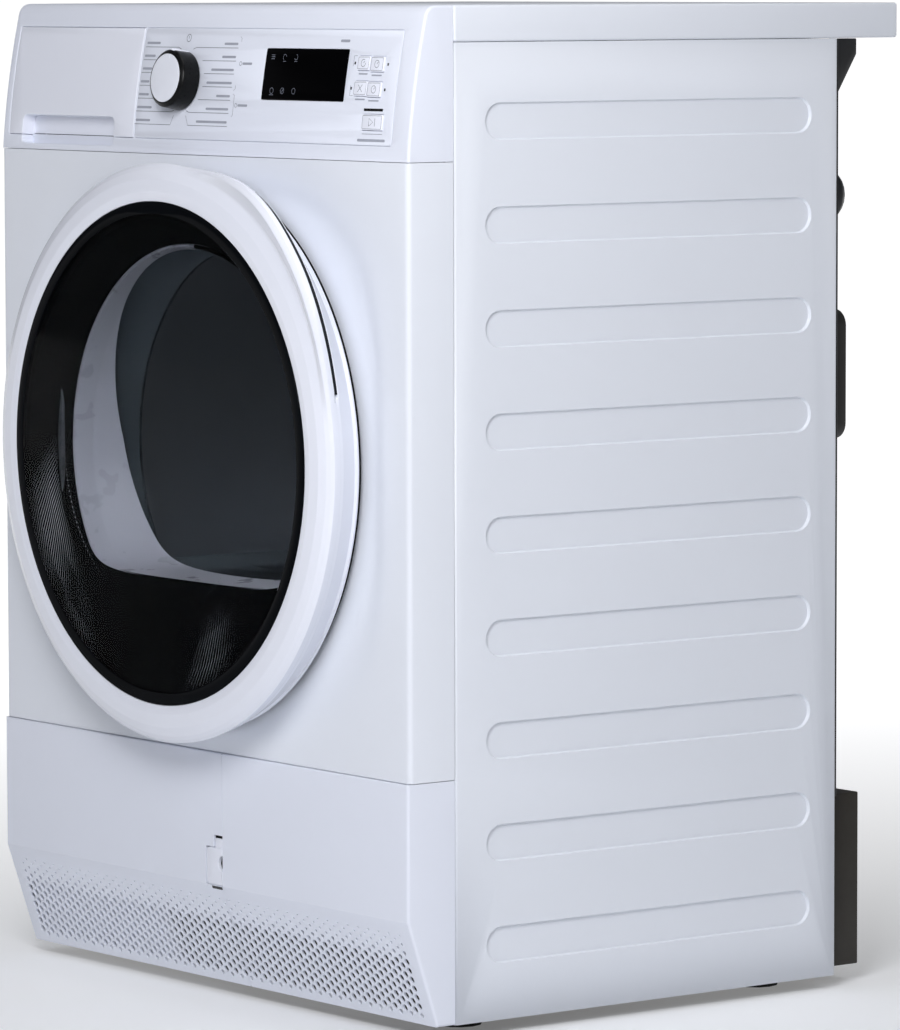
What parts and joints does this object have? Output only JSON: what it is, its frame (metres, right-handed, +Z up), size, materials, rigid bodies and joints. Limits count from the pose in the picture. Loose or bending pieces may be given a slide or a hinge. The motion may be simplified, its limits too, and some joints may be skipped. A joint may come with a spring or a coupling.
{
  "type": "clothes dryer",
  "caption": "Front-loading condenser tumble dryer: white casing with a round dark glass door, water drawer, programme knob, display and perforated kick panel with an access flap.",
  "frame": {"origin": "on the floor under the middle of the bounding box", "axes": "+X to the right seen from the front, +Y to the back, +Z up"},
  "size_m": [0.6, 0.5844, 0.85],
  "materials": {
    "casing_white": "satin cool white enamel",
    "worktop_white": "satin cool white",
    "panel_plastic": "satin cool white",
    "white_plastic": "satin cool white",
    "knob_face": "satin white face in a glossy black ring",
    "door_white": "satin cool white",
    "door_glass": "dark tinted, polished",
    "bowl_glass": "clear, polished",
    "display_black": "polished black",
    "black_plastic": "satin",
    "black_rubber": "matt",
    "rear_black": "matt black",
    "cover_grey": "satin light grey",
    "zinc_steel": "dull zinc",
    "drum_steel": "brushed",
    "grey_plastic": "satin grey",
    "brown_plastic": "matt dark brown-grey",
    "exchanger_aluminium": "bare",
    "lever_plastic": "blue",
    "motor_steel": "bare steel"
  },
  "bodies": {
    "cabinet": {"base_tray": "brown_plastic", "cable_gland": "black_plastic", "condensate_pump": "black_plastic", "control_board": "black_plastic", "control_fascia": "panel_plastic", "cooling_fan_housing": "grey_plastic", "display_window": "display_black", "door_lock": "black_plastic", "drive_belt": "black_rubber", "exchanger_housing": "grey_plastic", "front_bulkhead": "cover_grey", "front_panel": "casing_white", "heat_exchanger": "exchanger_aluminium", "heater": "zinc_steel", "hinge_bracket": "zinc_steel", "hose_holder": "grey_plastic", "kick_panel_right": "panel_plastic", "lint_filter": "grey_plastic", "motor_casing": "motor_steel", "port_ring": "grey_plastic", "port_seal": "black_rubber", "rear_air_box": "brown_plastic", "rear_drum_cover": "cover_grey", "rear_panel": "rear_black", "side_panel_left": "casing_white", "side_panel_right": "casing_white", "worktop": "worktop_white"},
    "door": {"door_ring": "door_white", "door_glass": "door_glass", "door_inner_frame": "black_plastic", "door_bowl": "bowl_glass", "door_hinge_leaf": "zinc_steel"},
    "drum": {"drum_shell": "drum_steel", "drum_back": "drum_steel", "drum_lifter_1": "grey_plastic", "drum_lifter_2": "grey_plastic", "drum_lifter_3": "grey_plastic"},
    "motor_rotor": {"motor_shaft": "motor_steel", "process_fan_wheel": "grey_plastic", "cooling_fan_wheel": "grey_plastic"},
    "roller_left": {"support_roller_left": "black_rubber"},
    "roller_right": {"support_roller_right": "black_rubber"},
    "idler": {"idler_pulley": "grey_plastic"},
    "knob": {"programme_knob": "knob_face"},
    "drawer": {"drawer_front": "white_plastic", "water_tank": "grey_plastic", "tank_lid": "grey_plastic"},
    "flap": {"access_flap": "panel_plastic"},
    "latch": {"flap_latch": "white_plastic"},
    "lever_left": {"exchanger_lever_left": "lever_plastic"},
    "lever_right": {"exchanger_lever_right": "lever_plastic"},
    "option_button_1_cap": {"option_button_1": "white_plastic"},
    "option_button_2_cap": {"option_button_2": "white_plastic"},
    "option_button_3_cap": {"option_button_3": "white_plastic"},
    "option_button_4_cap": {"option_button_4": "white_plastic"},
    "start_button_cap": {"start_button": "white_plastic"},
    "foot_front_left_body": {"foot_front_left": "black_rubber"},
    "foot_front_right_body": {"foot_front_right": "black_rubber"},
    "foot_rear_left_body": {"foot_rear_left": "black_rubber"},
    "foot_rear_right_body": {"foot_rear_right": "black_rubber"}
  },
  "joints": [
    {"name": "door_hinge", "type": "hinge", "parent": "cabinet", "child": "door", "pos_m": [-0.224, -0.2652, 0.4705], "axis": [0, 0, -1], "range_deg": [0, 145]},
    {"name": "drum_spin", "type": "hinge", "parent": "cabinet", "child": "drum", "pos_m": [0, 0.0148, 0.4705], "axis": [0, 1, 0], "continuous": true},
    {"name": "motor_spin", "type": "hinge", "parent": "cabinet", "child": "motor_rotor", "pos_m": [0.165, 0.0148, 0.105], "axis": [0, 1, 0], "continuous": true},
    {"name": "roller_left_spin", "type": "hinge", "parent": "cabinet", "child": "roller_left", "pos_m": [-0.21, -0.1362, 0.2285], "axis": [0, 1, 0], "continuous": true},
    {"name": "roller_right_spin", "type": "hinge", "parent": "cabinet", "child": "roller_right", "pos_m": [0.21, -0.1362, 0.2285], "axis": [0, 1, 0], "continuous": true},
    {"name": "idler_spin", "type": "hinge", "parent": "cabinet", "child": "idler", "pos_m": [0.1018, 0.0758, 0.0956], "axis": [0, 1, 0], "continuous": true},
    {"name": "knob_turn", "type": "hinge", "parent": "cabinet", "child": "knob", "pos_m": [-0.028, -0.22812, 0.785], "axis": [0, -0.9879, 0.1553], "continuous": true},
    {"name": "drawer_slide", "type": "slide", "parent": "cabinet", "child": "drawer", "axis": [0, -1, 0], "range_m": [0, 0.35]},
    {"name": "flap_hinge", "type": "hinge", "parent": "cabinet", "child": "flap", "pos_m": [-0.288, -0.2152, 0.145], "axis": [0, 0, -1], "range_deg": [0, 95]},
    {"name": "latch_press", "type": "slide", "parent": "flap", "child": "latch", "axis": [0, 1, 0], "range_m": [0, 0.003], "stiffness_N_per_m": 300, "springref_m": -0.001},
    {"name": "lever_left_turn", "type": "hinge", "parent": "cabinet", "child": "lever_left", "pos_m": [-0.236, -0.2052, 0.132], "axis": [0, 1, 0], "range_deg": [-90, 0]},
    {"name": "lever_right_turn", "type": "hinge", "parent": "cabinet", "child": "lever_right", "pos_m": [-0.034, -0.2052, 0.132], "axis": [0, 1, 0], "range_deg": [0, 90]},
    {"name": "option_button_1_press", "type": "slide", "parent": "cabinet", "child": "option_button_1_cap", "axis": [0, 0.9839, -0.1788], "range_m": [0, 0.0015], "stiffness_N_per_m": 400, "springref_m": -0.001},
    {"name": "option_button_2_press", "type": "slide", "parent": "cabinet", "child": "option_button_2_cap", "axis": [0, 0.984, -0.1779], "range_m": [0, 0.0015], "stiffness_N_per_m": 400, "springref_m": -0.001},
    {"name": "option_button_3_press", "type": "slide", "parent": "cabinet", "child": "option_button_3_cap", "axis": [0, 0.9885, -0.1511], "range_m": [0, 0.0015], "stiffness_N_per_m": 400, "springref_m": -0.001},
    {"name": "option_button_4_press", "type": "slide", "parent": "cabinet", "child": "option_button_4_cap", "axis": [0, 0.9887, -0.1502], "range_m": [0, 0.0015], "stiffness_N_per_m": 400, "springref_m": -0.001},
    {"name": "start_button_press", "type": "slide", "parent": "cabinet", "child": "start_button_cap", "axis": [0, 0.9935, -0.1138], "range_m": [0, 0.0015], "stiffness_N_per_m": 400, "springref_m": -0.001},
    {"name": "foot_front_left_turn", "type": "hinge", "parent": "cabinet", "child": "foot_front_left_body", "pos_m": [-0.24, -0.1402, 0.005], "axis": [0, 0, 1], "continuous": true},
    {"name": "foot_front_right_turn", "type": "hinge", "parent": "cabinet", "child": "foot_front_right_body", "pos_m": [0.24, -0.1402, 0.005], "axis": [0, 0, 1], "continuous": true},
    {"name": "foot_rear_left_turn", "type": "hinge", "parent": "cabinet", "child": "foot_rear_left_body", "pos_m": [-0.24, 0.1848, 0.005], "axis": [0, 0, 1], "continuous": true},
    {"name": "foot_rear_right_turn", "type": "hinge", "parent": "cabinet", "child": "foot_rear_right_body", "pos_m": [0.24, 0.1848, 0.005], "axis": [0, 0, 1], "continuous": true}
  ],
  "couplings": [
    {"joint": "motor_spin", "follows": "drum_spin", "ratio": 24.913},
    {"joint": "roller_left_spin", "follows": "drum_spin", "ratio": -8.2609},
    {"joint": "roller_right_spin", "follows": "drum_spin", "ratio": -8.2609},
    {"joint": "idler_spin", "follows": "drum_spin", "ratio": -14.692}
  ]
}
